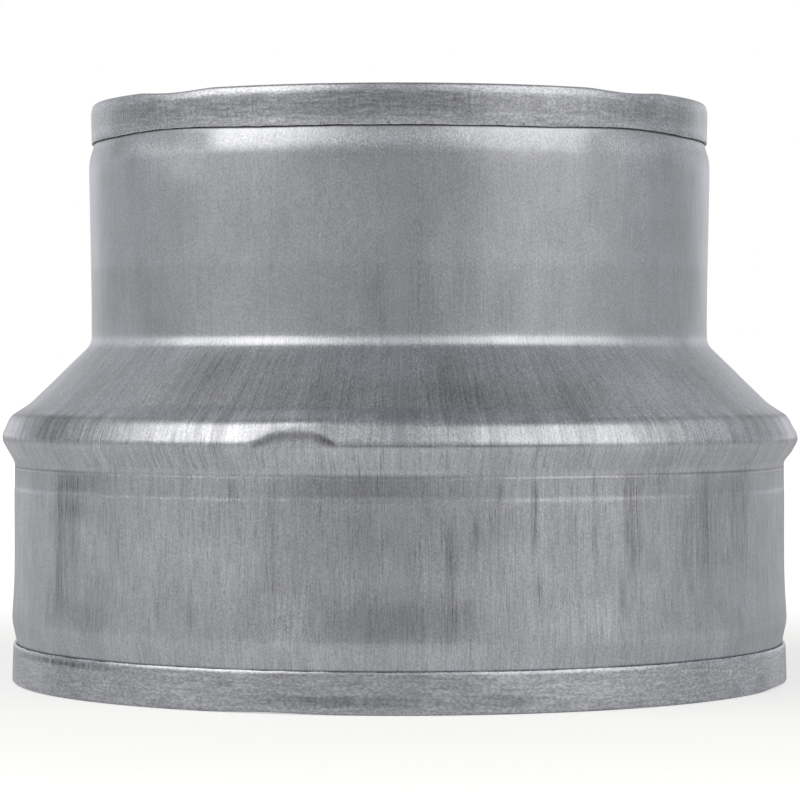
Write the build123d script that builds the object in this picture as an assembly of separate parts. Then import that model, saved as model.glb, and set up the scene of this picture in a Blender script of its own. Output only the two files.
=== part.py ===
from build123d import *
import os
from math import radians, tan

# Round duct reducer, drawn from one sheet of coated steel. From the bottom up it has a large end, a rolled
# bead, a cone and a neck, and round each mouth the sheet is folded outwards and pressed flat into a hem.
# Millimetres, +Z up. The origin is the middle of the large mouth, in the plane that its rim stands on.
# The front is -Y, and angles round the axis are counted from the front towards +X, in degrees.

# Sheet and hems, the same at both ends
sheet = 0.5  # thickness of the steel
hem_gap = 0.12  # room left between the two layers of a hem
hem_height = 7.5  # rim to cut edge
rim_bevel = 0.3  # corners of the flattened fold

# Large end
large_diameter = 150.0  # outside of the plain wall
large_length = 42.7  # rim to the foot of the bead
large_hem_proud = 0.3  # hem outside the plain wall
large_swell = 0.42  # swell beside the hem, outside the plain wall
large_swell_rise = 4.7  # cut edge of the hem to the top of the swell
large_swell_run = 7.5  # from the swell back to the plain wall

# Bead between the large end and the cone
bead_proud = 2.25  # outside the plain wall
bead_rise = 3.9  # foot to the land along the crest
bead_land = 0.75  # height of the land
bead_fall = 4.35  # land to the shoulder
shoulder_proud = 0.22  # top of the bead outside the plain wall
ledge_width = 3.25  # from the shoulder in to the cone, measured along the radius
ledge_angle = 57.0  # slope of the ledge, from the axis

# Cone and neck
cone_angle = 46.3  # slope of the cone, from the axis
neck_radius = 4.2  # hollow bend between the cone and the neck
small_diameter = 120.6  # outside of the neck
small_length = 46.6  # corner of cone and neck to the rim
small_hem_inset = 0.2  # hem inside the outside of the neck
small_joggle = 4.2  # length of the slope that takes the neck in behind the hem

# Places where the jaws of the hemming tool met, evenly round the small mouth
jaw_marks = 4
jaw_angle = 45.0  # of the first one
edge_rise = 0.43  # how far the hem's cut edge is drawn up there
edge_rise_width = 38.0  # along the edge

# Dent in the bead, as a round bar would press it
dent_angle = -14.0
dent_depth = 1.4  # inside the land
dent_radius = 55.0  # of the bar
dent_lean = 7.0  # how far the bar leans out towards its top, from the axis

# Radii and heights that follow from the sizes above
wall_radius = large_diameter / 2
crest_radius = wall_radius + bead_proud
shoulder_radius = wall_radius + shoulder_proud
ledge_radius = shoulder_radius - ledge_width
neck_wall_radius = small_diameter / 2
large_hem_radius = wall_radius + large_hem_proud
small_hem_radius = neck_wall_radius - small_hem_inset
land_height = large_length + bead_rise
shoulder_height = land_height + bead_land + bead_fall
ledge_height = shoulder_height + ledge_width / tan(radians(ledge_angle))
corner_height = ledge_height + (ledge_radius - neck_wall_radius) / tan(radians(cone_angle))
height = corner_height + small_length


def outer_side():
    """The sheet's outer side from cut edge to cut edge, as a line of radius and height.

    Inside each hem it runs down the folded-back layer, across the fold and up the wall behind.
    """
    large_back = large_hem_radius - sheet
    small_back = small_hem_radius - sheet
    large_swell_height = hem_height + large_swell_rise
    small_edge_height = height - hem_height
    large_end = [
        (large_back, hem_height),
        (large_back, sheet),
        (large_back - hem_gap, sheet),
        (large_back - hem_gap, hem_height),
        (wall_radius + large_swell, large_swell_height),
        (wall_radius, large_swell_height + large_swell_run),
    ]
    bead = [
        (wall_radius, large_length),
        (crest_radius, land_height),
        (crest_radius, land_height + bead_land),
        (shoulder_radius, shoulder_height),
        (ledge_radius, ledge_height),
    ]
    neck = [
        (neck_wall_radius, small_edge_height - small_joggle),
        (small_back - hem_gap, small_edge_height),
        (small_back - hem_gap, height - sheet),
        (small_back, height - sheet),
        (small_back, small_edge_height),
    ]
    before = large_end + bead
    bends = [0] * (len(before) - 1) + [neck_radius] + [0] * (len(neck) - 1)
    return FilletPolyline(*before, (neck_wall_radius, corner_height), *neck, radius=bends).wire()


def formed_sheet():
    """The sheet as formed: its outer side, thickened inwards, bevelled at the rims and turned about Z."""
    section = make_face(outer_side().offset_2d(sheet, kind=Kind.INTERSECTION, side=Side.LEFT))
    levels = section.vertices().group_by(Axis.Y)
    section = chamfer(levels[0] + levels[-1], rim_bevel)
    return revolve(Plane.XZ * section, Axis.Z)


def jaw_cuts():
    """What the small hem lacks along its cut edge, where the jaws of the hemming tool met.

    Each is the top of a lying cylinder, kept to the folded-back layer by a ring.
    """
    reach = small_hem_radius + sheet
    edge_height = height - hem_height
    arc_radius = edge_rise_width**2 / (8 * edge_rise) + edge_rise / 2
    upward = (Align.CENTER, Align.CENTER, Align.MIN)
    arc = Rot(90, 0, 0) * Cylinder(arc_radius, reach, align=upward)
    arc = Pos(0, 0, edge_height + edge_rise - arc_radius) * arc
    ring = Cylinder(reach, edge_rise, align=upward)
    ring = ring - Cylinder(small_hem_radius - sheet - hem_gap / 2, edge_rise, align=upward)
    cut = arc & (Pos(0, 0, edge_height) * ring)
    return [Rot(0, 0, jaw_angle + 360 / jaw_marks * mark) * cut for mark in range(jaw_marks)]


def dent_bar(radius):
    """The bar that dents the bead, at its place. A larger radius moves its face into the part as much."""
    bar = Cylinder(radius, bead_rise + bead_land + bead_fall, align=(Align.CENTER, Align.CENTER, Align.MIN))
    face = Pos(0, dent_depth - crest_radius, land_height) * Rot(dent_lean, 0, 0)
    return Rot(0, 0, dent_angle) * face * Pos(0, -dent_radius, -bead_rise) * bar


def dented(body):
    """The body with its bead dented: the sheet gives way to the bar and keeps its thickness behind it."""
    bar = dent_bar(dent_radius)
    pressed = dent_bar(dent_radius + sheet) - bar
    zone = Box(dent_radius, 2 * crest_radius, bead_rise + bead_land + bead_fall)
    zone = Rot(0, 0, dent_angle) * Pos(0, -crest_radius, land_height) * zone
    inside = (zone - body).solids().sort_by_distance(Vertex(0, 0, land_height))[0]
    return body - bar + (inside & pressed)


reducer = dented(formed_sheet())
for cut in jaw_cuts():
    reducer = reducer - cut

os.makedirs("parts", exist_ok=True)
export_step(reducer, "parts/reducer_body.step")
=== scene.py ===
# %% [markdown]
# # A duct reducer in drawn sheet steel
# This lesson dresses a round duct reducer. The real one is a single sheet of coated steel, drawn over a
# form until it has a wide end, a bead, a cone and a narrow neck. Both mouths are finished with a hem, which
# is the sheet folded outwards and pressed flat. The CAD model gives the place and the size of everything,
# so it is loaded first, and the height of its top rim is read from its box.

# %% Load the frame
import math

import bmesh
import bpy
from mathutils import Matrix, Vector, noise


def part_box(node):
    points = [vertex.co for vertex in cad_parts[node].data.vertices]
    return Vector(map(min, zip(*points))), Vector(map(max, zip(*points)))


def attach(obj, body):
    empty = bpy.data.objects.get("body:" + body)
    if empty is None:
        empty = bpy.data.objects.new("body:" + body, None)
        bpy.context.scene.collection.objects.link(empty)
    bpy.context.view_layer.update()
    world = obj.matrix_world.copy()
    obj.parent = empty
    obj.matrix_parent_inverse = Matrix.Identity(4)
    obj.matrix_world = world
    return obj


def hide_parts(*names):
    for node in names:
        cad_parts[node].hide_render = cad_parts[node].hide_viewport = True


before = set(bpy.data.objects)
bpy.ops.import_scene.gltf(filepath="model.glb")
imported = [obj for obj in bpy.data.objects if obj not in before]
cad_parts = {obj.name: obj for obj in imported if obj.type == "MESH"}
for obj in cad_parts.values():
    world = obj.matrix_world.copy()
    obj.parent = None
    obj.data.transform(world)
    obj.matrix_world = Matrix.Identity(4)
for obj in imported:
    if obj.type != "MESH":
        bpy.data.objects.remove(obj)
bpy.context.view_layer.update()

MM = 0.001
rim_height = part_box("reducer_body")[1].z / MM
print("top rim at", round(rim_height, 2), "mm")

# %% [markdown]
# ## The section of the sheet
# A turned thing is drawn once, as a line, and then spun. The line here is the outer side of the sheet, from
# the cut edge inside the bottom hem to the cut edge inside the top hem. By hand you would add a plane,
# merge it to a single vertex, and press E again and again to pull the line from corner to corner. Each
# corner is a radius and a height in millimetres, and a number that says how far its rounding reaches along
# both sides. Drawing corners and rounding them later is less work than placing every point of every bend.
# A few heights are named, because later steps come back to them.

# %% Corners of the section
SHEET = 0.5
LARGE_EDGE = 7.45           # cut edge of the bottom hem
CREST = 47.19               # outermost bend of the bead
ROOT = 65.28                # hollow bend from cone to neck
SMALL_EDGE = 104.05         # cut edge of the top hem
large_hem = [
    (74.61, LARGE_EDGE, 0),  # the folded layer is pressed in against the wall
    (74.77, 6.95, 0.2),
    (74.95, 1.3, 0.6),
    (74.95, SHEET, 0.22),   # the fold itself: two corners that meet in a half circle
    (74.5, SHEET, 0.22),
    (74.5, 7.25, 0.8),      # the wall leaves the hem
]
large_end = [
    (75.52, 12.0, 0.9),     # swell beside the hem
    (75.06, 19.8, 3.0),
    (75.06, 37.0, 0.3),     # shallow groove that the bead roller left
    (74.98, 37.9, 0.3),
    (74.97, 41.0, 0.08),    # low ridge along its upper edge
    (75.005, 41.15, 0.05),
    (74.96, 41.55, 0.1),
    (74.95, 42.45, 0.55),   # foot of the bead
]
bead = [
    (77.66, CREST, 1.35),
    (75.75, 51.35, 0.9),    # shoulder
    (71.97, 53.77, 0.9),    # the ledge ends and the cone begins
]
neck = [
    (60.05, ROOT, 1.3),
    (60.05, 73.0, 3.0),
    (60.55, 100.45, 1.2),   # swell beside the hem
    (59.4, 104.4, 0.8),
]
small_hem = [
    (59.3, rim_height - 1.7, 0.4),
    (59.06, rim_height - SHEET, 0.15),
    (59.36, rim_height - SHEET, 0.15),
    (59.63, rim_height - 1.35, 0.5),
    (59.52, SMALL_EDGE, 0),
]
corners = large_hem + large_end + bead + neck + small_hem
print(len(corners), "corners")

# %% Pull the line from corner to corner
bpy.ops.object.select_all(action="DESELECT")
bpy.ops.mesh.primitive_plane_add(size=MM, location=(0, 0, 0))
reducer = bpy.context.active_object
reducer.name = "reducer_sheet"
reducer.data.name = "reducer_sheet"
bpy.ops.object.mode_set(mode="EDIT")
bpy.ops.mesh.select_all(action="SELECT")
bpy.ops.mesh.merge(type="CENTER")
bpy.ops.transform.translate(value=(corners[0][0] * MM, 0, corners[0][1] * MM))
for last, here in zip(corners, corners[1:]):
    pull = ((here[0] - last[0]) * MM, 0, (here[1] - last[1]) * MM)
    bpy.ops.mesh.extrude_vertices_move(TRANSFORM_OT_translate={"value": pull})
print(len(bmesh.from_edit_mesh(reducer.data).verts), "vertices in the line")


# %% [markdown]
# ## Rounding the corners
# Sheet metal has no sharp bends. A vertex bevel (Ctrl Shift B by hand) turns one corner of a line into a
# short arc. Each corner has its own reach, so they are picked one at a time by their place. More segments
# go to the bends that show as a highlight: the crest of the bead and the hollow at the root of the neck.

# %% Round each corner
def pick_vertex(radius, height):
    """Selects only the vertex of the line that lies at this radius and height."""
    place = Vector((radius * MM, 0, height * MM))
    edit = bmesh.from_edit_mesh(reducer.data)
    nearest = min(edit.verts, key=lambda vertex: (vertex.co - place).length)
    for vertex in edit.verts:
        vertex.select_set(vertex is nearest)
    edit.select_flush_mode()
    bmesh.update_edit_mesh(reducer.data)


bpy.ops.mesh.select_mode(type="VERT")
for radius, height, reach in corners:
    if reach:
        pick_vertex(radius, height)
        segments = 8 if height in (CREST, ROOT) else 4
        bpy.ops.mesh.bevel(offset=reach * MM, segments=segments, affect="VERTICES")
print(len(bmesh.from_edit_mesh(reducer.data).verts), "vertices after rounding")

# %% [markdown]
# ## Rows of faces
# The dent, the pressed marks and the slight waviness of the sheet need rows of vertices to move. Long
# stretches are subdivided into rows, closer together on the bead, where the dent is. All edges that need
# the same number of cuts are subdivided in one go.

# %% Subdivide the long stretches
BEAD_LOW, BEAD_HIGH = 42, 52
BEAD_ROW, PLAIN_ROW = 0.6, 2.4


def rows_wanted(edge):
    """How many cuts this edge of the line needs."""
    height = (edge.verts[0].co.z + edge.verts[1].co.z) / 2 / MM
    row = BEAD_ROW if BEAD_LOW < height < BEAD_HIGH else PLAIN_ROW
    return math.ceil(edge.calc_length() / MM / row) - 1


sheet_edit = bmesh.from_edit_mesh(reducer.data)
cut_counts = sorted({rows_wanted(edge) for edge in sheet_edit.edges} - {0})
for cuts in cut_counts:
    sheet_edit = bmesh.from_edit_mesh(reducer.data)
    bpy.ops.mesh.select_all(action="DESELECT")
    for edge in sheet_edit.edges:
        if rows_wanted(edge) == cuts:
            edge.select_set(True)
    bmesh.update_edit_mesh(reducer.data)
    bpy.ops.mesh.subdivide(number_cuts=cuts)
print(len(bmesh.from_edit_mesh(reducer.data).verts), "vertices after subdividing")

# %% [markdown]
# ## Spinning the line
# Spin turns the line once round the upright axis. The last copy lands on the first, so doubles are merged.
# Then the normals are made consistent, and if they point into the duct they are flipped, because the sheet
# gets its thickness on the other side of them. A stretch of plain wall is enough to tell which way they
# point.

# %% Spin, merge and turn the faces outwards
STEPS = 288
bpy.ops.mesh.select_all(action="SELECT")
bpy.ops.mesh.spin(steps=STEPS, angle=2 * math.pi, center=(0, 0, 0), axis=(0, 0, 1))
bpy.ops.mesh.select_all(action="SELECT")
bpy.ops.mesh.remove_doubles(threshold=0.002 * MM)
bpy.ops.mesh.normals_make_consistent(inside=False)
sheet_edit = bmesh.from_edit_mesh(reducer.data)
wall_faces = [face for face in sheet_edit.faces if 25 < face.calc_center_median().z / MM < 35]
outward = sum(face.normal.dot(face.calc_center_median()) for face in wall_faces)
if outward < 0:
    bpy.ops.mesh.flip_normals()
bpy.ops.object.mode_set(mode="OBJECT")
print(len(reducer.data.polygons), "faces, outward" if outward > 0 else "faces, flipped")


# %% [markdown]
# ## Marks of the press and of use
# A perfect turned shape looks like plastic. The real sheet has marks that a tool or a knock left, and each
# is a small move of vertices that a formula describes:
# - the jaws of the hemming tool met at four places round the top, where the rim dips, the cut edge rises and
#   the slope behind the hem is pressed flat;
# - the bottom rim is a little raised at four other places;
# - something round hit the bead left of the middle and left a flat with a softly rounded upper edge;
# - the bead lies a little low round the front and stands out a little more on the right;
# - the whole sheet is slightly out of true, and its cut edges are ragged.
#
# By hand these would be sculpted or moved with proportional editing. A formula gives the same result every
# time, and because it moves the bare sheet before it gets its thickness, the thickness stays even. Angles
# are in degrees from the front, positive to the right, and lengths are in millimetres.

# %% Helpers for soft bumps
def bump(angle, centre, half_width):
    """1 at the centre angle, falling smoothly to 0 at half_width degrees to either side."""
    away = abs((angle - centre + 180) % 360 - 180) / half_width
    return (math.cos(math.pi * away) + 1) / 2 if away < 1 else 0


def ramp(value, low, high):
    """0 below low, 1 above high, and a smooth rise between them."""
    share = min(max((value - low) / (high - low), 0), 1)
    return share * share * (3 - 2 * share)


# %% Marks of the hemming tools
JAWS = {45: 0.5, 135: 0.6, -135: 0.6, -44.5: 0.65}  # angle, and depth of the flat behind the hem
FLAT_HALF_WIDTH = 12
EDGE_RISE, EDGE_HALF_WIDTH = 0.48, 23
RIM_DIP, DIP_HALF_WIDTH = 0.47, 9.5
LOWER_JAWS = (-18, 72, 162, -108)
LOWER_LIFT, LIFT_HALF_WIDTH = 0.27, 10
SMALL_FOLD = 59.5           # the folded layer of the top hem lies outside this radius
EDGE_BACK = 59.46           # all that rises with the cut edge, also just behind it, lies outside this one


def hemming_marks(angle, radius, height):
    """Moves of radius and height that the hemming tools left."""
    out, up = 0, 0
    for jaw, flat in JAWS.items():
        if SMALL_EDGE - 0.2 < height < rim_height - 1.5 and radius > EDGE_BACK:
            up += EDGE_RISE * bump(angle, jaw, EDGE_HALF_WIDTH) * (1 - ramp(height, SMALL_EDGE, rim_height))
        if height > SMALL_EDGE:
            up -= RIM_DIP * bump(angle, jaw, DIP_HALF_WIDTH)**0.6 * ramp(height, SMALL_EDGE + 2, rim_height)
        across = ((angle - jaw + 180) % 360 - 180) / FLAT_HALF_WIDTH
        folded = height > SMALL_EDGE - 0.02 and radius > SMALL_FOLD
        if abs(across) < 1 and not folded:
            behind_the_hem = ramp(height, 93, 100.4) * (1 - ramp(height, 100.8, 104))
            out -= flat * (1 - across**2) * behind_the_hem
    for jaw in LOWER_JAWS:
        up += LOWER_LIFT * bump(angle, jaw, LIFT_HALF_WIDTH) * (1 - ramp(height, 0.5, 5))
    return out, up


# %% The dent in the bead
DENT_ANGLE, DENT_HALF_WIDTH, DENT_TOP = -13.8, 15, 49.95
DENT_RADIUS = 76.37         # how near to the axis the bar came, at the top of the dent
BAR_WIDTH = 7.7             # along the bead, to where the bar's face has fallen back by 1 mm
BAR_BELLY = 0.018           # how much nearer its belly came below that: depth over height squared
DENT_SOFT = 0.42            # rounding where the bar's face leaves the sheet


def dent(angle, radius, height):
    """How far a round bar with a bellied end pushes this point of the bead in."""
    if not 42.8 < height < BEAD_HIGH or bump(angle, DENT_ANGLE, DENT_HALF_WIDTH) == 0:
        return 0
    turn = math.radians(angle - DENT_ANGLE)
    aside = radius * math.sin(turn)
    belly = BAR_BELLY * (DENT_TOP - height)**2
    bar_face = DENT_RADIUS - belly + abs(aside / BAR_WIDTH)**3
    press = radius - bar_face / math.cos(turn)
    return (press + math.sqrt(press**2 + DENT_SOFT**2)) / 2 if press > -5 * DENT_SOFT else 0


def shoulder_lift(angle, height):
    """How far the knock drove up the shoulder above the dent."""
    over_the_dent = bump(angle, DENT_ANGLE + 2, 13)
    return 0.25 * over_the_dent * ramp(height, 49.8, 51.2) * (1 - ramp(height, 51.8, 53.6))


# %% The bead runs low at the front and full on the right
BEAD_SAG, BEAD_FULLNESS = 0.3, 0.38


def bead_sag(angle, height):
    """How far the bead lies below its level round the front."""
    round_the_front = ramp(angle, -80, -45) * (1 - ramp(angle, 50, 82))
    return BEAD_SAG * round_the_front * ramp(height, 43, 46) * (1 - ramp(height, 52, 56))


def bead_fullness(angle, height):
    """How far the lower half of the bead stands out on the right."""
    on_the_right = ramp(angle, 45, 80) * (1 - ramp(angle, 100, 140))
    return BEAD_FULLNESS * on_the_right * ramp(height, 42.6, 44.5) * (1 - ramp(height, 46, 50.5))


# %% Waves in the sheet and ragged cut edges
LARGE_FOLD = 74.58          # the folded layer of the bottom hem lies outside this radius


def waves(angle, height):
    """A slow unevenness of the radius."""
    turn = math.radians(angle)
    place = Vector((math.cos(turn) * 1.6, math.sin(turn) * 1.6, height / 45))
    return 0.07 * noise.noise(place) + 0.03 * noise.noise(place * 3.1)


def on_cut_edge(radius, height):
    """True for the vertices along the two cut edges."""
    of_large = abs(height - LARGE_EDGE) < 0.02 and radius > LARGE_FOLD
    of_small = abs(height - SMALL_EDGE) < 0.02 and radius > SMALL_FOLD
    return of_large or of_small


def ragged(angle, height):
    """Moves of radius and height along the sheared cut edges."""
    turn = math.radians(angle)
    fine = Vector((math.cos(turn) * 22, math.sin(turn) * 22, height))
    return 0.03 * noise.noise(fine), 0.11 * noise.noise(fine + Vector((7, 3, 1)))


# %% Move the vertices
deepest = 0
for vertex in reducer.data.vertices:
    x, y, z = vertex.co / MM
    angle, radius = math.degrees(math.atan2(x, -y)), math.hypot(x, y)
    out, up = hemming_marks(angle, radius, z)
    pushed = dent(angle, radius, z)
    deepest = max(deepest, pushed)
    out += waves(angle, z) + bead_fullness(angle, z) - pushed
    up += shoulder_lift(angle, z) - bead_sag(angle, z)
    if on_cut_edge(radius, z):
        rag_out, rag_up = ragged(angle, z)
        out, up = out + rag_out, up + rag_up
    turn = math.radians(angle)
    new_radius = radius + out
    vertex.co = Vector((new_radius * math.sin(turn), -new_radius * math.cos(turn), z + up)) * MM
reducer.data.update()
print("dent", round(deepest, 2), "mm deep")

# %% [markdown]
# ## Thickness of the sheet
# Solidify gives the bare surface its half millimetre. It grows against the normals, so into the duct on the
# walls and round the outside of the folds, and that makes the round nose of each hem. It also numbers its
# faces: the outside keeps slot 0, the inside gets slot 1, and the cut edges get slot 3. Slot 2 is left for
# the hem bands. The outer corner of both cut edges is then bevelled, because the hemming tool rolls it over,
# and it shows as a bright line.

# %% Give the sheet its thickness
OUTSIDE, INSIDE, HEM, CUT = range(4)
bpy.context.view_layer.objects.active = reducer
thickness = reducer.modifiers.new("sheet", "SOLIDIFY")
thickness.thickness = SHEET * MM
thickness.offset = -1
thickness.use_even_offset = True
thickness.use_rim = True
thickness.material_offset = INSIDE
thickness.material_offset_rim = CUT
for slot in range(4):
    reducer.data.materials.append(None)
bpy.ops.object.modifier_apply(modifier=thickness.name)
cut_faces = sum(face.material_index == CUT for face in reducer.data.polygons)
print(len(reducer.data.polygons), "faces with thickness,", cut_faces, "on cut edges")

# %% Bevel the outer corner of the cut edges
EDGE_BEVEL = 0.16
bpy.ops.object.mode_set(mode="EDIT")
bpy.ops.mesh.select_mode(type="EDGE")
bpy.ops.mesh.select_all(action="DESELECT")
sheet_edit = bmesh.from_edit_mesh(reducer.data)
for edge in sheet_edit.edges:
    sides = {face.material_index for face in edge.link_faces}
    edge.select_set(sides == {INSIDE, CUT})
bmesh.update_edit_mesh(reducer.data)
bpy.ops.mesh.bevel(offset=EDGE_BEVEL * MM, segments=3, affect="EDGES", material=CUT)
bpy.ops.object.mode_set(mode="OBJECT")
bpy.ops.object.shade_smooth_by_angle(angle=math.radians(40))
print(sum(len(face.vertices) - 2 for face in reducer.data.polygons), "triangles")

# %% [markdown]
# ## Which face has which finish
# The same steel looks different in four places: the drawn outside, the inside of the duct, the two hem bands
# that the hemming tool rubbed round, and the bare cut edges. Solidify has already numbered three of them.
# The hems are the inner side of the sheet folded out, so those faces are found by their place: they lie
# outside the wall, beside a rim.

# %% Sort the faces
LARGE_BAND, SMALL_BAND = 74.75, 59.56  # the hem bands lie outside these radii
for face in reducer.data.polygons:
    centre = face.center / MM
    radius = math.hypot(centre.x, centre.y)
    large_band = centre.z < LARGE_EDGE + 0.55 and radius > LARGE_BAND
    small_band = centre.z > SMALL_EDGE - 0.55 and radius > SMALL_BAND
    if face.material_index == INSIDE and (large_band or small_band):
        face.material_index = HEM
counts = [sum(face.material_index == slot for face in reducer.data.polygons) for slot in range(4)]
print("faces outside, inside, hem, cut:", counts)

# %% [markdown]
# ## Measuring the surface for the finishes
# Every finish needs to know where a point is on the turned shape: its direction from the axis, its angle
# from the front and its height. One node group works this out from the object coordinates, so the streaks
# run true from any side and there is no seam at the back. A few helpers come first. Each places a node or
# two and takes numbers or sockets alike, so that the wiring reads like a sum.

# %% Small helpers to wire nodes
def new_group(name, inputs, outputs):
    """A shader node group with named number sockets. A vector output is marked by a leading star."""
    group = bpy.data.node_groups.new(name, "ShaderNodeTree")
    for socket, value in inputs.items():
        made = group.interface.new_socket(name=socket, in_out="INPUT", socket_type="NodeSocketFloat")
        made.default_value = value
    for socket in outputs:
        kind = "NodeSocketVector" if socket.startswith("*") else "NodeSocketFloat"
        group.interface.new_socket(name=socket.lstrip("*"), in_out="OUTPUT", socket_type=kind)
    return group, group.nodes.new("NodeGroupInput").outputs, group.nodes.new("NodeGroupOutput").inputs


def feed(tree, value, socket):
    """Links an output to this input, or sets the input to a number."""
    if isinstance(value, bpy.types.NodeSocket):
        tree.links.new(value, socket)
    else:
        socket.default_value = value


def math_node(tree, operation, *values):
    """One math step on numbers or sockets. Returns its output socket."""
    node = tree.nodes.new("ShaderNodeMath")
    node.operation = operation
    for value, socket in zip(values, node.inputs):
        feed(tree, value, socket)
    return node.outputs[0]


def multiply(tree, *values):
    """The product of several sockets."""
    product = values[0]
    for value in values[1:]:
        product = math_node(tree, "MULTIPLY", product, value)
    return product


def ramp_node(tree, value, low, high, start=0.0, end=1.0):
    """A smooth rise of value from low to high, given out as start to end. Low may be the larger one."""
    node = tree.nodes.new("ShaderNodeMapRange")
    node.interpolation_type = "SMOOTHSTEP"
    names = ("Value", "From Min", "From Max", "To Min", "To Max")
    for name, given in zip(names, (value, low, high, start, end)):
        feed(tree, given, node.inputs[name])
    return node.outputs["Result"]


def use_group(tree, group, **values):
    """Places a node group in a tree, sets or links its inputs by name, and returns its outputs."""
    node = tree.nodes.new("ShaderNodeGroup")
    node.node_tree = group
    for name, value in values.items():
        feed(tree, value, node.inputs[name.replace("_", " ")])
    return node.outputs


# %% Group: place on the turned shape
turned, _, turned_out = new_group("place on the turned shape", {}, ["*Round", "Angle", "Height", "Radius"])
coordinates = turned.nodes.new("ShaderNodeTexCoord")
split = turned.nodes.new("ShaderNodeSeparateXYZ")
turned.links.new(coordinates.outputs["Object"], split.inputs[0])
across, along, upward = (math_node(turned, "MULTIPLY", split.outputs[axis], 1 / MM) for axis in "XYZ")
square = math_node(turned, "POWER", across, 2)
square = math_node(turned, "ADD", square, math_node(turned, "POWER", along, 2))
from_axis = math_node(turned, "SQRT", square)
to_the_front = math_node(turned, "MULTIPLY", along, -1)
angle_out = math_node(turned, "DEGREES", math_node(turned, "ARCTAN2", across, to_the_front))
round_vector = turned.nodes.new("ShaderNodeCombineXYZ")
turned.links.new(math_node(turned, "DIVIDE", across, from_axis), round_vector.inputs["X"])
turned.links.new(math_node(turned, "DIVIDE", along, from_axis), round_vector.inputs["Y"])
turned.links.new(round_vector.outputs[0], turned_out["Round"])
turned.links.new(angle_out, turned_out["Angle"])
turned.links.new(upward, turned_out["Height"])
turned.links.new(from_axis, turned_out["Radius"])
print("group:", turned.name)

# %% [markdown]
# ## Streaks
# Drawing drags the sheet over the form, and that leaves fine scratches along the shape, from mouth to mouth.
# The hemming roller leaves its scratches the other way, round the rim. Both are noise that is stretched: on
# a unit circle for the direction, times the number of streaks wanted, with the height slowed down or sped
# up. One group serves for both. It gives out long streaks, short grain and broad streaks, because the real
# sheet is mostly grain, with some long scratches over it.

# %% Group: streaks
def stretched_noise(tree, vector, detail, roughness):
    """A noise texture on a ready made vector. Returns its value, about 0.5 in the middle."""
    node = tree.nodes.new("ShaderNodeTexNoise")
    node.inputs["Scale"].default_value = 1
    node.inputs["Detail"].default_value = detail
    node.inputs["Roughness"].default_value = roughness
    tree.links.new(vector, node.inputs["Vector"])
    return node.outputs["Fac"]


def stretched_vector(tree, place, round_count, height_rate):
    """Direction times a count, with the height times a rate as its third part."""
    scaled = tree.nodes.new("ShaderNodeVectorMath")
    scaled.operation = "SCALE"
    tree.links.new(place["Round"], scaled.inputs[0])
    tree.links.new(round_count, scaled.inputs["Scale"])
    split = tree.nodes.new("ShaderNodeSeparateXYZ")
    tree.links.new(scaled.outputs[0], split.inputs[0])
    joined = tree.nodes.new("ShaderNodeCombineXYZ")
    tree.links.new(split.outputs["X"], joined.inputs["X"])
    tree.links.new(split.outputs["Y"], joined.inputs["Y"])
    tree.links.new(math_node(tree, "MULTIPLY", place["Height"], height_rate), joined.inputs["Z"])
    return joined.outputs[0]


streaks, streaks_in, streaks_out = new_group(
    "streaks", {"Count": 200, "Height rate": 0.2, "Grain rate": 2}, ["Fine", "Grain", "Broad"])
place = use_group(streaks, turned)
count, rate = streaks_in["Count"], streaks_in["Height rate"]
fine = stretched_noise(streaks, stretched_vector(streaks, place, count, rate), 2, 0.5)
more = math_node(streaks, "MULTIPLY", count, 1.2)
grain_vector = stretched_vector(streaks, place, more, streaks_in["Grain rate"])
grain = stretched_noise(streaks, grain_vector, 2, 0.6)
fewer = math_node(streaks, "MULTIPLY", count, 0.13)
slower = math_node(streaks, "MULTIPLY", rate, 0.4)
broad = stretched_noise(streaks, stretched_vector(streaks, place, fewer, slower), 2, 0.5)
streaks.links.new(ramp_node(streaks, fine, 0.25, 0.75), streaks_out["Fine"])
streaks.links.new(ramp_node(streaks, grain, 0.25, 0.75), streaks_out["Grain"])
streaks.links.new(ramp_node(streaks, broad, 0.3, 0.7), streaks_out["Broad"])
print("group:", streaks.name)

# %% [markdown]
# ## Smears
# Dirty oil from the press dried on the sheet in upright smears. Each smear has a middle angle, a width, a
# lower and an upper end, and ends softly. The group gives one soft mask. The finish adds its masks up and
# then breaks the sum with streaks, so that a smear looks wiped along the sheet and not painted on.

# %% Group: smear
smear, smear_in, smear_out = new_group(
    "smear", {"At angle": 0, "At height": 0, "Angle": 0, "Half width": 5, "Low": 10, "High": 40, "Soft": 4,
              "Strength": 1}, ["Mask"])
half_width, low, high, soft = (smear_in[name] for name in ("Half width", "Low", "High", "Soft"))
away = math_node(smear, "ABSOLUTE", math_node(smear, "SUBTRACT", smear_in["At angle"], smear_in["Angle"]))
full_width = math_node(smear, "MULTIPLY", half_width, 0.1)
sideways = ramp_node(smear, away, half_width, full_width, 0, smear_in["Strength"])
middle = math_node(smear, "MULTIPLY", math_node(smear, "ADD", low, high), 0.5)
reach = math_node(smear, "MULTIPLY", math_node(smear, "SUBTRACT", high, low), 0.5)
off = math_node(smear, "ABSOLUTE", math_node(smear, "SUBTRACT", smear_in["At height"], middle))
outer_end = math_node(smear, "MULTIPLY_ADD", soft, 0.5, reach)
upright = ramp_node(smear, off, outer_end, math_node(smear, "SUBTRACT", reach, soft))
smear.links.new(math_node(smear, "MULTIPLY", sideways, upright), smear_out["Mask"])
print("group:", smear.name)


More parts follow.
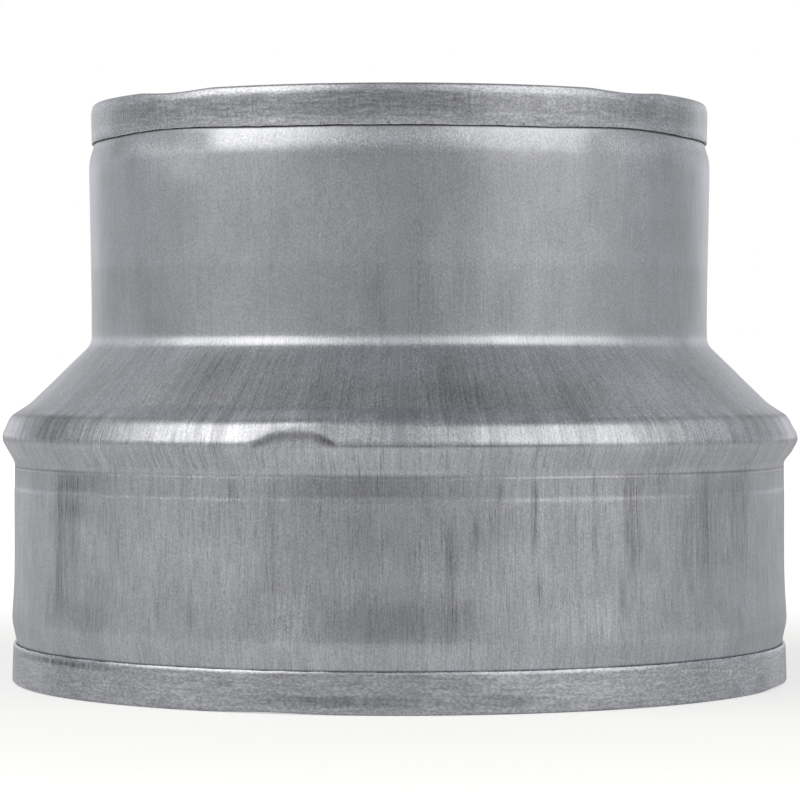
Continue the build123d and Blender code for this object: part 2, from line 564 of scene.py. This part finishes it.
# %% Add up a list of smears
def add_up(tree, place, marks):
    """Places a smear group for each mark and returns the sum of their masks."""
    total = 0.0
    for angle, half_width, low, high, soft, strength in marks:
        mark = use_group(
            tree, smear, At_angle=place["Angle"], At_height=place["Height"], Angle=angle,
            Half_width=half_width, Low=low, High=high, Soft=soft, Strength=strength)
        total = math_node(tree, "ADD", total, mark["Mask"])
    return total


# %% [markdown]
# ## Clouds
# Zinc coated sheet that has been handled is never one grey: it has dull clouds a centimetre or two wide.
# This group gives one cloud value. Its size is in millimetres.

# %% Group: clouds
clouds, clouds_in, clouds_out = new_group("clouds", {"Size": 15}, ["Cloud"])
coordinates = clouds.nodes.new("ShaderNodeTexCoord")
shrink = clouds.nodes.new("ShaderNodeVectorMath")
shrink.operation = "SCALE"
clouds.links.new(coordinates.outputs["Object"], shrink.inputs[0])
clouds.links.new(math_node(clouds, "DIVIDE", 1 / MM, clouds_in["Size"]), shrink.inputs["Scale"])
cloud = stretched_noise(clouds, shrink.outputs[0], 4, 0.55)
clouds.links.new(ramp_node(clouds, cloud, 0.3, 0.7), clouds_out["Cloud"])
print("group:", clouds.name)


# %% [markdown]
# ## The steel
# All four finishes are the same metal, so one function starts each of them: full Metallic, and the base
# colour, roughness and a small bump wired from what changes over the surface. The tone of the metal is one
# number, 1 for the plain sheet, that streaks and painted highlights raise and dirt and painted shade lower,
# and it is multiplied into the colour.

# %% A metal to start from
STEEL = (0.597, 0.609, 0.661)


def steel_finish(name):
    """A metal material. Returns it with its tree and its shader node."""
    material = bpy.data.materials.new(name)
    material.use_nodes = True
    tree = material.node_tree
    shader = tree.nodes["Principled BSDF"]
    shader.inputs["Metallic"].default_value = 1
    return material, tree, shader


def wire_finish(tree, shader, tone, roughness, bump_height, bump_depth):
    """Feeds the tone, the roughness and the bump of a finish to its shader."""
    colour = tree.nodes.new("ShaderNodeVectorMath")
    colour.operation = "SCALE"
    colour.inputs[0].default_value = STEEL
    tree.links.new(tone, colour.inputs["Scale"])
    tree.links.new(colour.outputs[0], shader.inputs["Base Color"])
    tree.links.new(roughness, shader.inputs["Roughness"])
    relief = tree.nodes.new("ShaderNodeBump")
    relief.inputs["Strength"].default_value = 1
    relief.inputs["Distance"].default_value = bump_depth * MM
    tree.links.new(bump_height, relief.inputs["Height"])
    tree.links.new(relief.outputs[0], shader.inputs["Normal"])


# %% Factors and masks that the finishes share
def weigh(tree, value, low, high):
    """Turns a 0 to 1 value into a factor between low and high."""
    return math_node(tree, "MULTIPLY_ADD", value, high - low, low)


def swing(tree, value, size):
    """A factor that swings about 1 by half the size to either side as the value goes from 0 to 1."""
    return math_node(tree, "MULTIPLY_ADD", math_node(tree, "SUBTRACT", value, 0.5), size, 1)


def between(tree, value, rise, fall):
    """1 inside and 0 outside: rises over the first pair of values and falls over the second."""
    return multiply(tree, ramp_node(tree, value, *rise), ramp_node(tree, value, fall[1], fall[0]))


def near(tree, value, level, reach):
    """1 where the value is at this level, falling to 0 at reach to either side."""
    off = math_node(tree, "ABSOLUTE", math_node(tree, "SUBTRACT", value, level))
    return ramp_node(tree, off, reach, 0)


# %% [markdown]
# ## Drawn outside
# The outside carries most of the picture. Fine streaks run along it everywhere, stronger on the cone and
# the wide end than on the neck, and the swell beside the top hem is grainy where it catches the light. The
# zones are given by their heights in millimetres.

# %% Outside: streaks by zone
drawn_steel, tree, shader = steel_finish("drawn_steel")
place = use_group(tree, turned)
angle, height = place["Angle"], place["Height"]
from_front = math_node(tree, "ABSOLUTE", angle)
drag = use_group(tree, streaks, Count=260, Height_rate=0.17, Grain_rate=2.6)
scratch = use_group(tree, streaks, Count=330, Height_rate=0.3, Grain_rate=1)
haze = use_group(tree, clouds, Size=13)
on_flank = between(tree, height, (42.6, 43.2), (46.6, 47.2))
on_bead = between(tree, height, (46.5, 47.5), (52, 53.5))
on_cone = between(tree, height, (46.5, 47.5), (64, 66))
at_root = near(tree, height, 65.6, 1.8)
on_neck = ramp_node(tree, height, 64, 67)
on_swell = near(tree, height, 101.5, 3)

grain_size = math_node(tree, "MULTIPLY_ADD", on_cone, 0.14, 0.38)
grain_size = math_node(tree, "MULTIPLY_ADD", on_swell, 0.3, grain_size)
grain_tone = swing(tree, drag["Grain"], grain_size)
fine_tone = swing(tree, drag["Fine"], weigh(tree, on_neck, 0.2, 0.08))
broad_size = math_node(tree, "MULTIPLY_ADD", on_bead, 0.15, 0.09)
broad_tone = swing(tree, drag["Broad"], math_node(tree, "MULTIPLY_ADD", on_neck, -0.05, broad_size))
scratch_lines = ramp_node(tree, scratch["Fine"], 0.8, 1.0)
scratch_tone = math_node(tree, "MULTIPLY_ADD", scratch_lines, weigh(tree, on_neck, -0.28, -0.06), 1)
cloud_tone = weigh(tree, haze["Cloud"], 0.94, 1.06)
print("streak zones wired")

# %% [markdown]
# The smears lie where the real part has them. Each has its middle angle, half width in degrees, lower end,
# upper end and softness in millimetres, and strength. A strength below 0 is a place rubbed brighter. The
# narrow ones on the wide end are wiped into lines, so the streaks break them hard. The others are softer and
# grainy. The back has a few plain smears of the same kinds.

# %% Outside: smears wiped into lines
wiped_smears = [
    (-58, 4, 13, 22, 3, 0.14), (-56.6, 1.6, 15, 41, 4, 0.2), (-54.5, 5, 13.5, 41, 4, 0.2),
    (-52, 7, 32.5, 37, 2, 0.28), (-51.5, 9, 38, 41.6, 0.8, 0.3), (-49.5, 5, 12.6, 18, 2, 0.16),
    (-45, 5, 29, 37, 3, 0.16), (-42.5, 0.5, 26, 30, 2, 0.3), (-29.5, 0.7, 14, 19, 2, 0.3),
    (-27.5, 5, 29, 37, 3, 0.16), (-23.4, 0.5, 26, 30, 2, 0.3), (-23.1, 0.9, 36.4, 40.8, 1.4, 0.38),
    (-22.7, 7, 13.2, 20, 3, 0.05), (-17.3, 1.5, 15, 41, 4, 0.18), (-15.3, 4, 12, 21, 3, -0.58),
    (7, 1.3, 12.9, 32, 5, 0.2), (8.6, 4, 12, 21, 3, 0.12), (10.3, 0.7, 27, 35.5, 3, 0.24),
    (13.6, 0.8, 36.5, 40.5, 2, 0.24), (14.6, 5, 29, 37, 3, 0.18), (18.5, 0.8, 28, 41.5, 4, 0.42),
    (19, 0.9, 18, 25, 3, 0.36), (24.1, 1.2, 29, 41, 5, 0.2), (27.3, 0.7, 27, 41.5, 5, 0.3),
    (27.5, 6, 12, 20, 3, -0.15), (31.7, 1, 15, 24, 4, 0.28), (32.6, 0.8, 27, 42, 5, 0.26),
    (33.9, 2.2, 24, 42, 5, 0.32), (38.3, 0.7, 36, 41.8, 2, 0.3), (47, 9, 22, 38, 5, 0.24),
    (47.7, 1.2, 29, 42, 4, 0.18), (56.5, 6, 22, 42, 6, 0.22),
]
wiped_at_the_back = [
    (110, 10, 9, 40, 6, 0.26), (150, 5, 14, 41, 6, 0.26), (-160, 13, 9, 38, 8, 0.26),
    (-110, 6, 10, 41, 5, 0.26),
]
wiped = use_group(tree, streaks, Count=290, Height_rate=0.12, Grain_rate=1.6)
lines = math_node(tree, "MULTIPLY_ADD", wiped["Fine"], 1.35, -0.2)
lines = math_node(tree, "MULTIPLY_ADD", wiped["Grain"], 0.45, lines)
dirt_and_shade = multiply(tree, add_up(tree, place, wiped_smears + wiped_at_the_back), lines)
print(len(wiped_smears + wiped_at_the_back), "wiped smears")

# %% Outside: soft smears
soft_on_wide_end = [
    (-74, 10, 13, 41, 4, -0.26), (-38, 10, 29, 37, 3, 0.07), (-21.3, 4, 20, 30, 4, -0.12),
    (-4, 18, 37.9, 41.9, 0.6, 0.34), (-2, 22, 29, 37, 3, 0.07), (-0.3, 11, 12.6, 20, 2, 0.2),
    (-0.3, 13, 13, 27, 6, 0.1), (1, 18, 25, 38, 5, 0.2), (11.5, 6, 22, 30, 4, 0.1),
    (36, 5, 22, 30, 4, 0.12), (74, 10, 13, 41, 4, -0.09),
]
soft_on_bead = [
    (0, 200, 43.2, 46.6, 0.6, -0.07), (-74, 9, 43.2, 46.8, 1, -0.2), (-72, 6, 47, 51.5, 1, -0.13),
    (-57, 13, 47, 52, 1, 0.54), (-44, 9, 47, 51.5, 1, 0.22), (-40, 28, 47.2, 51.4, 1, 0.14),
    (-20, 5, 47, 51.5, 1, -0.1), (-9, 3.2, 47, 51.5, 1, 0.4), (35, 5, 47, 51.5, 1, 0.16),
    (47, 6, 47, 51.5, 1, -0.25), (62, 14, 47, 52, 1, 0.22), (160, 20, 47, 52, 1, 0.3),
]
soft_on_cone = [
    (-33, 8, 52, 64.5, 3, 0.2), (-26, 13, 52, 64.5, 3, 0.24), (-18, 34, 51.7, 64.6, 1, 0.18),
    (-9.5, 5, 52.5, 58, 3, 0.2), (-1, 9, 59, 65, 4, -0.17), (8, 7, 52.5, 64, 4, 0.3),
    (12, 24, 52, 58.5, 3, 0.3), (26, 9, 52, 58, 3, 0.12), (27, 9, 54, 64, 5, 0.1),
    (38, 14, 59, 65, 4, 0.2), (52, 10, 54, 64, 5, 0.18), (140, 18, 54, 64, 5, 0.28),
]
soft_on_neck = [
    (0, 200, 64, 79.8, 1.6, 0.11), (-66, 10, 66, 101, 5, 0.2), (-61, 6, 100, 104, 2, 0.3),
    (-52, 4, 66, 97, 8, 0.04), (-49, 8, 97, 104, 3, -0.28), (-48, 5, 65.5, 79, 4, 0.15),
    (-47.5, 6, 68, 97, 8, -0.2), (-37.5, 4, 100, 104, 1, 0.25), (-34, 8, 64.2, 67, 0.8, 0.14),
    (-4, 4, 66.5, 78, 4, 0.18), (4, 4, 65.5, 80, 5, 0.12), (4, 5, 66, 92, 8, 0.14),
    (11, 5, 68, 100, 6, 0.18), (18.5, 4, 64.5, 67, 0.8, -0.15), (19, 5, 66, 78, 4, 0.16),
    (22, 14, 66, 101, 5, 0.05), (28, 5, 66, 79, 4, 0.08), (36.5, 5, 100, 104, 2, 0.16),
    (36.5, 6, 84, 101, 6, 0.2), (46.5, 10, 97, 104, 3, -0.3), (47.5, 5, 68, 97, 8, -0.14),
    (62, 6, 64.5, 67, 0.8, 0.12), (64, 12, 66, 101, 5, 0.2), (-150, 12, 66, 95, 10, 0.2),
]
soft_smears = soft_on_wide_end + soft_on_bead + soft_on_cone + soft_on_neck
blur = math_node(tree, "MULTIPLY_ADD", wiped["Fine"], 0.5, 0.3)
blur = math_node(tree, "MULTIPLY_ADD", wiped["Grain"], 0.3, blur)
dirt_and_shade = math_node(tree, "MULTIPLY_ADD", add_up(tree, place, soft_smears), blur, dirt_and_shade)
print(len(soft_smears), "soft smears")

# %% [markdown]
# The bead roller scored the sheet along both edges of its groove. The scores are thin and broken, and they
# are made brighter with a painted highlight that fades towards the middle and the sides, away from where the
# lamps reflect. Painted shade darkens the corner beside each hem, where the cut edge rises at the jaws, the
# crease at the foot of the bead, the dent and the crest. The shoulder of the bead is darker as well.

# %% Outside: score lines, brightened with a painted highlight
SCORES = {37.7: 0.45, 41.5: 0.4}  # height, and reach of the line
worn = use_group(tree, streaks, Count=150, Height_rate=0.2, Grain_rate=4)
wobbled = math_node(tree, "MULTIPLY_ADD", worn["Broad"], 0.35, height)
score = math_node(tree, "ADD", *(near(tree, wobbled, level, reach) for level, reach in SCORES.items()))
# The brightness of the scores is a painted highlight: full where the lamps reflect, weaker at the front, on
# the right and towards the sides.
glint_where_lamps_reflect = multiply(
    tree, ramp_node(tree, from_front, 8, 20, 0.4, 1), ramp_node(tree, from_front, 60, 44, 0.25, 1),
    ramp_node(tree, angle, 4, 16, 1, 0.5))
breaks = multiply(tree, ramp_node(tree, worn["Grain"], 0.35, 0.8), weigh(tree, worn["Broad"], 0.1, 1))
score_glint_tone = weigh(tree, multiply(tree, score, breaks, glint_where_lamps_reflect), 1, 1.55)
print(len(SCORES), "score lines")

# %% Outside: painted shade in the corners, and darker bands
# Painted shade: the corner beside each hem is darkened, at the top along the cut edge, which rises at the
# jaws.
from_jaw = math_node(tree, "SUBTRACT", math_node(tree, "WRAP", angle, 90, 0), 45)
from_jaw = math_node(tree, "ABSOLUTE", from_jaw)
edge_level = ramp_node(tree, from_jaw, EDGE_HALF_WIDTH, 0, SMALL_EDGE + 0.05, SMALL_EDGE + 0.5)
large_seam = near(tree, height, LARGE_EDGE - 0.05, 0.6)
seam_shade = math_node(tree, "ADD", large_seam, near(tree, height, edge_level, 0.5))
groove_dirt = between(tree, height, (37.5, 38.2), (41.6, 42.2))
tide = between(tree, height, (12.2, 13.4), (14, 28))
sideways = math_node(tree, "ADD", from_front, ramp_node(tree, angle, -5, 5, 0, 16))
# Painted shade in the crease at the foot of the bead, stronger towards the sides.
foot_crease_shade = multiply(tree, near(tree, height, 41.6, 0.3), ramp_node(tree, sideways, 38, 60))
# Darker along the shoulder of the bead, more so towards the sides.
shoulder_darkening = multiply(tree, near(tree, height, 51.6, 0.6), ramp_node(tree, from_front, 12, 40))
print("corners wired")

# %% Outside: painted shade in the dent and along the crest of the bead
# Painted shade: a soft dark band under the rounded upper edge of the dent.
from_dent = math_node(tree, "DIVIDE", math_node(tree, "SUBTRACT", angle, DENT_ANGLE), 6.1)
from_dent = math_node(tree, "ABSOLUTE", from_dent)
beside_dent = ramp_node(tree, from_dent, 0.85, 1.1)
over_dent = math_node(tree, "SUBTRACT", 1, beside_dent)
fall = math_node(tree, "POWER", from_dent, 3)
dent_edge = math_node(tree, "MULTIPLY_ADD", fall, -2.9, DENT_TOP - BEAD_SAG)
under_edge = math_node(tree, "SUBTRACT", dent_edge, height)
above_crest = ramp_node(tree, height, 46.2, 47.3)
dent_shade = multiply(tree, between(tree, under_edge, (-0.4, 0.6), (0.7, 2.5)), over_dent, above_crest)
# Painted shade: a dark line along the crest, strongest near the front and left out over the dent.
off_middle = math_node(tree, "ABSOLUTE", math_node(tree, "SUBTRACT", angle, 6))
crest_shade = multiply(
    tree, near(tree, height, 47.0, 0.4), weigh(tree, worn["Broad"], 0.4, 1), beside_dent,
    ramp_node(tree, off_middle, 22, 12, 0.22, 0.9))
print("dent and crest wired")

# %% Outside: add up the dirt and the painted shade
# The painted shade in the seams, the foot crease, the dent and along the crest is added to the dirt here,
# each with its strength.
strengths = [
    (seam_shade, 0.85), (groove_dirt, 0.08), (tide, 0.07), (foot_crease_shade, 0.3), (dent_shade, 0.42),
    (crest_shade, 0.5), (shoulder_darkening, 0.16),
]
for mask, strength in strengths:
    dirt_and_shade = math_node(tree, "MULTIPLY_ADD", mask, strength, dirt_and_shade)
dirt_and_shade_tone = math_node(tree, "MAXIMUM", math_node(tree, "SUBTRACT", 1, dirt_and_shade), 0.1)
print(len(strengths), "kinds of dirt over the smears")

# %% Outside: scratches across the bead
scored = use_group(tree, streaks, Count=230, Height_rate=0.2, Grain_rate=0.5)
deep_lines = ramp_node(tree, scored["Fine"], 0.5, 0.95)
in_patches = ramp_node(tree, scored["Broad"], 0.25, 0.8)
flank_tone = math_node(tree, "MULTIPLY_ADD", multiply(tree, deep_lines, in_patches, on_flank), -0.28, 1)
towards_the_sides = ramp_node(tree, from_front, 14, 50, 0.08, 0.3)
bead_tone = swing(tree, scored["Fine"], multiply(tree, on_bead, towards_the_sides))
print("scratches on the bead wired")

# %% Outside: put the finish together
# Painted highlight: the hollow bend at the root of the neck is made up to 1.3 times brighter, along the
# lamps' line there.
root_highlight = weigh(tree, at_root, 1, 1.3)
tone = multiply(
    tree, grain_tone, fine_tone, broad_tone, scratch_tone, cloud_tone, dirt_and_shade_tone, score_glint_tone, root_highlight,
    flank_tone, bead_tone)
rough = math_node(tree, "MULTIPLY_ADD", drag["Grain"], 0.1, 0.29)
for mask, rougher in ((dirt_and_shade, 0.25), (at_root, 0.08), (on_bead, 0.03), (on_swell, 0.07)):
    rough = math_node(tree, "MULTIPLY_ADD", mask, rougher, rough)
wire_finish(tree, shader, tone, rough, drag["Fine"], 0.008)
print("finish:", drawn_steel.name)

# %% [markdown]
# ## Hem bands
# The hemming roller rubbed these bands round the rim, so their scratches run round and not up. They are
# sandy, blotched with dirt, and nicked along the cut edge of the top hem. Their smears are listed from the
# bottom hem to the top one, in the same way as those of the outside.

# %% Hems
hem_steel, tree, shader = steel_finish("hem_steel")
place = use_group(tree, turned)
rubbed = use_group(tree, streaks, Count=15, Height_rate=2, Grain_rate=1.2)
sand = use_group(tree, streaks, Count=115, Height_rate=3.1, Grain_rate=5)
ticks = use_group(tree, streaks, Count=110, Height_rate=0.1, Grain_rate=0.4)
blotch = use_group(tree, clouds, Size=7)
rub_tone = weigh(tree, rubbed["Fine"], 0.87, 1.13)
sand_tone = weigh(tree, sand["Fine"], 0.74, 1.26)
blotch_tone = weigh(tree, blotch["Cloud"], 1.03, 0.93)
hem_smears = [
    (-58, 22, 5.9, 7.1, 0.4, 0.55), (-54, 10, 0, 7, 1, 0.14), (-30, 14, 4.4, 6.4, 1, 0.12),
    (-8.5, 18, 1.4, 3.5, 0.6, 0.4), (13, 10, 1.2, 3.6, 0.8, 0.2), (53.6, 0.5, 4.2, 5.6, 0.4, -0.3),
    (72, 9, 0, 7.5, 1, -0.28),
    (0, 200, 106, 110, 1.4, 0.24), (-61, 7, 104, 112, 2, 0.12), (-24, 14, 104.2, 105.6, 0.8, -0.3),
    (-20, 10, 104, 112, 3, -0.08), (8, 9, 104, 112, 3, 0.09), (45, 8, 104, 112, 2, -0.12),
    (64, 10, 104, 112, 2, 0.18),
]
smeared = multiply(tree, add_up(tree, place, hem_smears), weigh(tree, ticks["Fine"], 0.4, 1.1))
at_edge = near(tree, place["Height"], SMALL_EDGE + 0.25, 0.5)
nicks = multiply(tree, at_edge, ramp_node(tree, ticks["Fine"], 0.82, 0.95))
smeared = math_node(tree, "MULTIPLY_ADD", nicks, 0.6, smeared)
smear_tone = math_node(tree, "SUBTRACT", 1, smeared)
tone = multiply(tree, rub_tone, sand_tone, blotch_tone, smear_tone)
rough = math_node(tree, "MULTIPLY_ADD", rubbed["Fine"], 0.1, 0.3)
wire_finish(tree, shader, tone, rough, sand["Fine"], 0.006)
print("finish:", hem_steel.name)

# %% [markdown]
# ## Inside and cut edges
# Nothing shows the inside of the real part, so it is finished plainly: the same drawn streaks, a little
# duller, with no smears of its own. The sheared edges are bare steel, rough and patchy, and darkened with
# painted shade where the top one lies in the gap behind its hem.

# %% Inside
inner_steel, tree, shader = steel_finish("inner_steel")
drag = use_group(tree, streaks, Count=260, Height_rate=0.17, Grain_rate=1.7)
haze = use_group(tree, clouds, Size=20)
grain_tone = weigh(tree, drag["Grain"], 0.84, 1.12)
fine_tone = weigh(tree, drag["Fine"], 0.9, 1.06)
cloud_tone = weigh(tree, haze["Cloud"], 0.93, 1.05)
tone = multiply(tree, grain_tone, fine_tone, cloud_tone)
rough = math_node(tree, "MULTIPLY_ADD", drag["Fine"], 0.1, 0.34)
wire_finish(tree, shader, tone, rough, drag["Fine"], 0.01)
print("finish:", inner_steel.name)

# %% Cut edges
cut_steel, tree, shader = steel_finish("cut_steel")
place = use_group(tree, turned)
torn = use_group(tree, streaks, Count=90, Height_rate=2)
patch = use_group(tree, clouds, Size=4)
# Painted shade: the top cut edge, in the gap behind its hem, is darkened down to 0.14 of its tone.
gap_shade = ramp_node(tree, place["Radius"], 59.88, 60.0, 0.14, 1)
torn_tone = weigh(tree, torn["Fine"], 0.75, 1.3)
patch_tone = weigh(tree, patch["Cloud"], 0.8, 1.3)
tone = multiply(tree, torn_tone, patch_tone, gap_shade)
rough = math_node(tree, "MULTIPLY_ADD", torn["Fine"], 0.12, 0.22)
wire_finish(tree, shader, tone, rough, torn["Fine"], 0.03)
print("finish:", cut_steel.name)

# %% Put the finishes on the sheet
for slot, material in enumerate((drawn_steel, inner_steel, hem_steel, cut_steel)):
    reducer.data.materials[slot] = material
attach(reducer, "root")
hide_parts("reducer_body")
print([material.name for material in reducer.data.materials])

# %% [markdown]
# ## Floor, light and background
# The part was shown on white, standing on a pale floor. Metal shows what is round it, so the light matters
# as much as the finish: two broad soft lamps stand in front, left and right and fairly high, with a darker
# gap between them, and nothing bright hangs overhead, because the cone faces that way and is dark. The
# lamps are a little warm, which evens out the blue of the steel in the highlights. The floor is plain and
# pale. For the camera it is topped up to white, less so beside the part, where its shadow lies. The metal
# sees it a little brighter as well.

# %% Floor
bpy.ops.object.select_all(action="DESELECT")
bpy.ops.mesh.primitive_circle_add(vertices=96, radius=60, fill_type="NGON", location=(0, 0, 0))
floor = bpy.context.active_object
floor.name = "floor"
pale = bpy.data.materials.new("pale_floor")
pale.use_nodes = True
tree = pale.node_tree
shader = tree.nodes["Principled BSDF"]
shader.inputs["Base Color"].default_value = (0.68, 0.68, 0.68, 1)
shader.inputs["Roughness"].default_value = 0.9
shader.inputs["Specular IOR Level"].default_value = 0
shader.inputs["Emission Color"].default_value = (1, 1, 1, 1)
ray = tree.nodes.new("ShaderNodeLightPath").outputs
place = use_group(tree, turned)
share = ramp_node(tree, place["Radius"], 90, 500, 0.5, 1)
mirrored = math_node(tree, "MAXIMUM", ray["Is Glossy Ray"], ray["Is Transmission Ray"])
top_up = math_node(tree, "MULTIPLY", ray["Is Camera Ray"], share)
top_up = math_node(tree, "MULTIPLY_ADD", mirrored, 0.1, top_up)
tree.links.new(top_up, shader.inputs["Emission Strength"])
floor.data.materials.append(pale)
print("floor 120 m across")

# %% Soft lamps
LAMP_COLOUR = (1, 0.98, 0.9)
LAMP_DISTANCE = 1.4
AIM = Vector((0, 0, 0.055))


def soft_lamp(name, azimuth, elevation, width, tall, radiance):
    """A rectangular lamp aimed at the middle of the part. Azimuth counts from the front towards +X."""
    turn, rise = math.radians(azimuth), math.radians(elevation)
    sight = Vector((math.cos(rise) * math.sin(turn), -math.cos(rise) * math.cos(turn), math.sin(rise)))
    data = bpy.data.lights.new(name, "AREA")
    data.shape = "RECTANGLE"
    data.size, data.size_y = width, tall
    data.energy = radiance * math.pi * width * tall
    data.color = LAMP_COLOUR
    lamp = bpy.data.objects.new(name, data)
    bpy.context.scene.collection.objects.link(lamp)
    lamp.location = AIM + sight * LAMP_DISTANCE
    lamp.rotation_euler = (-sight).to_track_quat("-Z", "Y").to_euler()


soft_lamp("left_lamp", azimuth=-62.5, elevation=35.75, width=1.32, tall=1.033, radiance=1.43)
soft_lamp("right_lamp", azimuth=53, elevation=30.5, width=1.38, tall=1.25, radiance=0.89)
print("two lamps")

# %% [markdown]
# The world is a dim studio: darkest in front at the level of the floor, lighter further up, and darker again
# straight overhead. Behind the part hangs a pale backdrop that only the metal sees. The camera sees plain
# white wherever it looks past the floor.

# %% World
world = bpy.data.worlds.new("studio")
bpy.context.scene.world = world
world.use_nodes = True
tree = world.node_tree
background = tree.nodes["Background"]
ray = tree.nodes.new("ShaderNodeLightPath").outputs
direction = tree.nodes.new("ShaderNodeTexCoord")
split = tree.nodes.new("ShaderNodeSeparateXYZ")
tree.links.new(direction.outputs["Generated"], split.inputs[0])
to_the_back, upward = split.outputs["Y"], split.outputs["Z"]
horizon = ramp_node(tree, to_the_back, -1.0, -0.3, 0.2, 0.35)
upper = ramp_node(tree, upward, 0.05, 0.45, horizon, 0.46)
overhead = ramp_node(tree, upward, 0.7, 0.97, 0, 0.17)
backdrop = multiply(tree, ramp_node(tree, to_the_back, 0.3, 0.95, 0, 0.58), ramp_node(tree, upward, 0.4, 0.1))
mirrored = math_node(tree, "MAXIMUM", ray["Is Glossy Ray"], ray["Is Transmission Ray"])
level = math_node(tree, "SUBTRACT", upper, overhead)
level = math_node(tree, "MULTIPLY_ADD", backdrop, mirrored, level)
level = math_node(tree, "MAXIMUM", level, ray["Is Camera Ray"])
background.inputs["Color"].default_value = (1, 1, 1, 1)
tree.links.new(level, background.inputs["Strength"])
print("world ready")

# %% [markdown]
# ## Camera
# The camera stands level with the middle of the part, a good half metre off, and looks down by half a
# degree. These numbers were fitted to the ellipses of the two rims.

# %% Camera
EYE_DISTANCE, EYE_HEIGHT = 0.6635, 0.06021
LOOK_DOWN, LOOK_RIGHT = 0.506, 0.0115
camera_data = bpy.data.cameras.new("camera")
camera_data.sensor_width = 36
camera_data.lens = 152.25
camera = bpy.data.objects.new("camera", camera_data)
bpy.context.scene.collection.objects.link(camera)
camera.location = (0, -EYE_DISTANCE, EYE_HEIGHT)
camera.rotation_euler = (math.radians(90 - LOOK_DOWN), 0, math.radians(-LOOK_RIGHT))
bpy.context.scene.camera = camera
bpy.context.scene.view_settings.view_transform = "Standard"
print("camera at", [round(value, 4) for value in camera.location])
